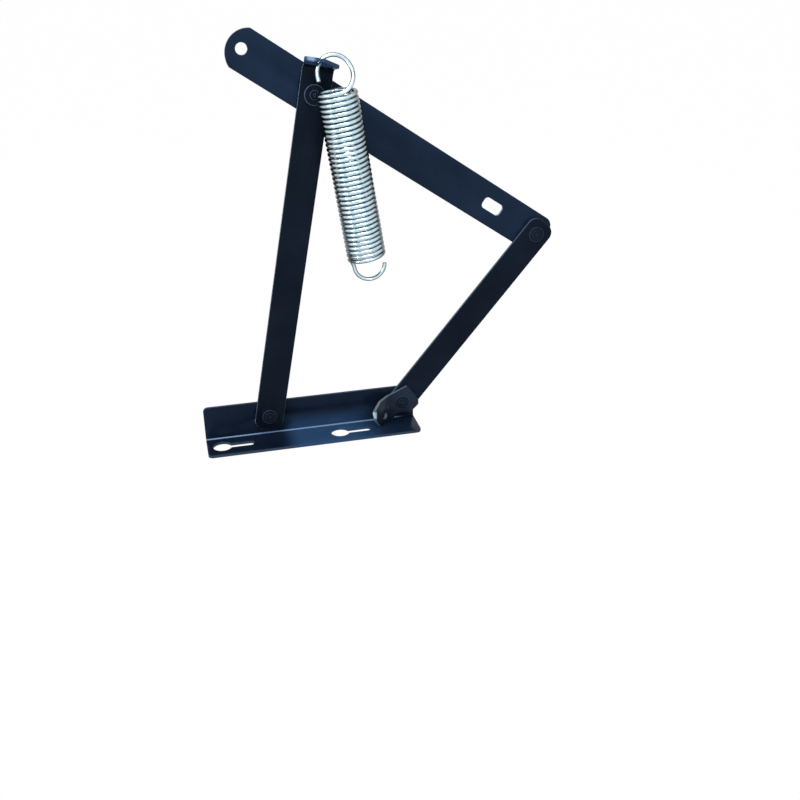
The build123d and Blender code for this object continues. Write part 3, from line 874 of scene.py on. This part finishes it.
wire_curve = wire_line(spring_stations(), hung_spring_frame())
wire_guide = bpy.data.objects.new("spring_wire_guide", wire_curve)
bpy.context.scene.collection.objects.link(wire_guide)
drawing = wire_guide.modifiers.new("drawn wire", "NODES")
drawing.node_group = drawn_wire_tree()
fill_inputs(
    drawing,
    {"Wire Radius": wire_diameter / 2, "Sides": wire_sides, "Finish": spring_zinc},
)
drawn = wire_guide.evaluated_get(bpy.context.evaluated_depsgraph_get())
wire_mesh = bpy.data.meshes.new_from_object(drawn)
wire_mesh.name = "helper_spring_wire"
bpy.data.objects.remove(wire_guide)
wire = bpy.data.objects.new("helper_spring_wire", wire_mesh)
bpy.context.scene.collection.objects.link(wire)
wire_mesh.set_sharp_from_angle(angle=wire_corner_angle)
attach(wire, "spring")
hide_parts("extension_spring")

# The floor is a plain white table that keeps the hinge's soft shadow, under a pale and slightly
# cool sky. Both show as white where they are seen directly. Three soft lamps light the hinge.

floor_half = 20.0
floor_level = -0.2 * mm
floor_glow = 0.99
room_strength = 0.55
floor_sides = ((-1, -1), (1, -1), (1, 1), (-1, 1))
floor_corners = [(x * floor_half, y * floor_half, floor_level) for x, y in floor_sides]
floor_mesh = bpy.data.meshes.new("floor")
floor_mesh.from_pydata(floor_corners, [], [(0, 1, 2, 3)])
floor = bpy.data.objects.new("floor", floor_mesh)
bpy.context.scene.collection.objects.link(floor)


def seen_directly(node_tree):
    """1 for rays of the camera and of mirror or glass reflections, and 0 for the light's own rays."""
    path = node_tree.nodes.new("ShaderNodeLightPath")
    total = path.outputs["Is Camera Ray"]
    for name in ("Is Glossy Ray", "Is Transmission Ray"):
        both = node_tree.nodes.new("ShaderNodeMath")
        both.operation = "MAXIMUM"
        node_tree.links.new(total, both.inputs[0])
        node_tree.links.new(path.outputs[name], both.inputs[1])
        total = both.outputs["Value"]
    return total


floor_white = bpy.data.materials.new("white_table")
floor_white.use_nodes = True
floor_tree = floor_white.node_tree
table_top = floor_tree.nodes["Principled BSDF"]
table_top.inputs["Base Color"].default_value = (0.86, 0.86, 0.86, 1.0)
table_top.inputs["Roughness"].default_value = 1.0
table_top.inputs["Specular IOR Level"].default_value = 0.0
glow = floor_tree.nodes.new("ShaderNodeEmission")
glow.inputs["Color"].default_value = (1.0, 1.0, 1.0, 1.0)
share = floor_tree.nodes.new("ShaderNodeMath")
share.operation = "MULTIPLY"
share.inputs[1].default_value = floor_glow
blend_table = floor_tree.nodes.new("ShaderNodeMixShader")
floor_tree.links.new(seen_directly(floor_tree), share.inputs[0])
floor_tree.links.new(share.outputs["Value"], blend_table.inputs["Fac"])
floor_tree.links.new(table_top.outputs["BSDF"], blend_table.inputs[1])
floor_tree.links.new(glow.outputs["Emission"], blend_table.inputs[2])
table_output = floor_tree.nodes["Material Output"]
floor_tree.links.new(blend_table.outputs["Shader"], table_output.inputs["Surface"])
floor_mesh.materials.append(floor_white)

sky = bpy.data.worlds.new("pale_sky")
bpy.context.scene.world = sky
sky.use_nodes = True
sky_tree = sky.node_tree
backdrop = sky_tree.nodes["Background"]
backdrop.inputs["Color"].default_value = (1.0, 1.0, 1.0, 1.0)
backdrop.inputs["Strength"].default_value = 1.0
room = sky_tree.nodes.new("ShaderNodeBackground")
room.inputs["Color"].default_value = (0.86, 0.93, 1.0, 1.0)
room.inputs["Strength"].default_value = room_strength
blend_sky = sky_tree.nodes.new("ShaderNodeMixShader")
sky_tree.links.new(seen_directly(sky_tree), blend_sky.inputs["Fac"])
sky_tree.links.new(room.outputs["Background"], blend_sky.inputs[1])
sky_tree.links.new(backdrop.outputs["Background"], blend_sky.inputs[2])
sky_tree.links.new(blend_sky.outputs["Shader"], sky_tree.nodes["World Output"].inputs["Surface"])


hinge_middle = Vector((0.06, 0.0, 0.2))


def softbox(name, place, size, power, colour):
    """A square lamp of soft light that is turned towards the middle of the hinge."""
    light = bpy.data.lights.new(name, "AREA")
    light.shape = "SQUARE"
    light.size = size
    light.energy = power
    light.color = colour
    lamp = bpy.data.objects.new(name, light)
    bpy.context.scene.collection.objects.link(lamp)
    lamp.location = place
    lamp.rotation_euler = (hinge_middle - Vector(place)).to_track_quat("-Z", "Y").to_euler()


softbox("window", (0.42, -1.35, 0.85), size=0.3, power=5.0, colour=(0.72, 0.87, 1.0))
softbox("overhead", (-0.25, -0.45, 1.4), size=0.6, power=12.0, colour=(0.86, 0.94, 1.0))
softbox("side_window", (-1.2, -0.5, 0.55), size=0.3, power=9.0, colour=(0.78, 0.9, 1.0))

# The camera stands where the photograph was taken from: in front of the hinge, a little to its
# left and above it, and turned by less than a degree about its line of sight.

camera_target = Vector((0.0992, 0.017, 0.0233))
camera_azimuth = math.radians(-13.62)
camera_elevation = math.radians(25.79)
camera_roll = math.radians(-0.73)
camera_distance = 1.0881
camera_lens = 44.4

camera_data = bpy.data.cameras.new("camera")
camera_data.lens = camera_lens
camera_data.sensor_width = 36.0
camera = bpy.data.objects.new("camera", camera_data)
bpy.context.scene.collection.objects.link(camera)
backward = Vector(
    (
        math.sin(camera_azimuth) * math.cos(camera_elevation),
        -math.cos(camera_azimuth) * math.cos(camera_elevation),
        math.sin(camera_elevation),
    )
)
level_right = Vector((0, 0, 1)).cross(backward).normalized()
level_up = backward.cross(level_right)
picture_right = level_right * math.cos(camera_roll) + level_up * math.sin(camera_roll)
picture_up = level_up * math.cos(camera_roll) - level_right * math.sin(camera_roll)
stance = Matrix((picture_right, picture_up, backward)).transposed().to_4x4()
camera.matrix_world = Matrix.Translation(camera_target + backward * camera_distance) @ stance
bpy.context.scene.camera = camera
bpy.context.scene.view_settings.view_transform = "Standard"
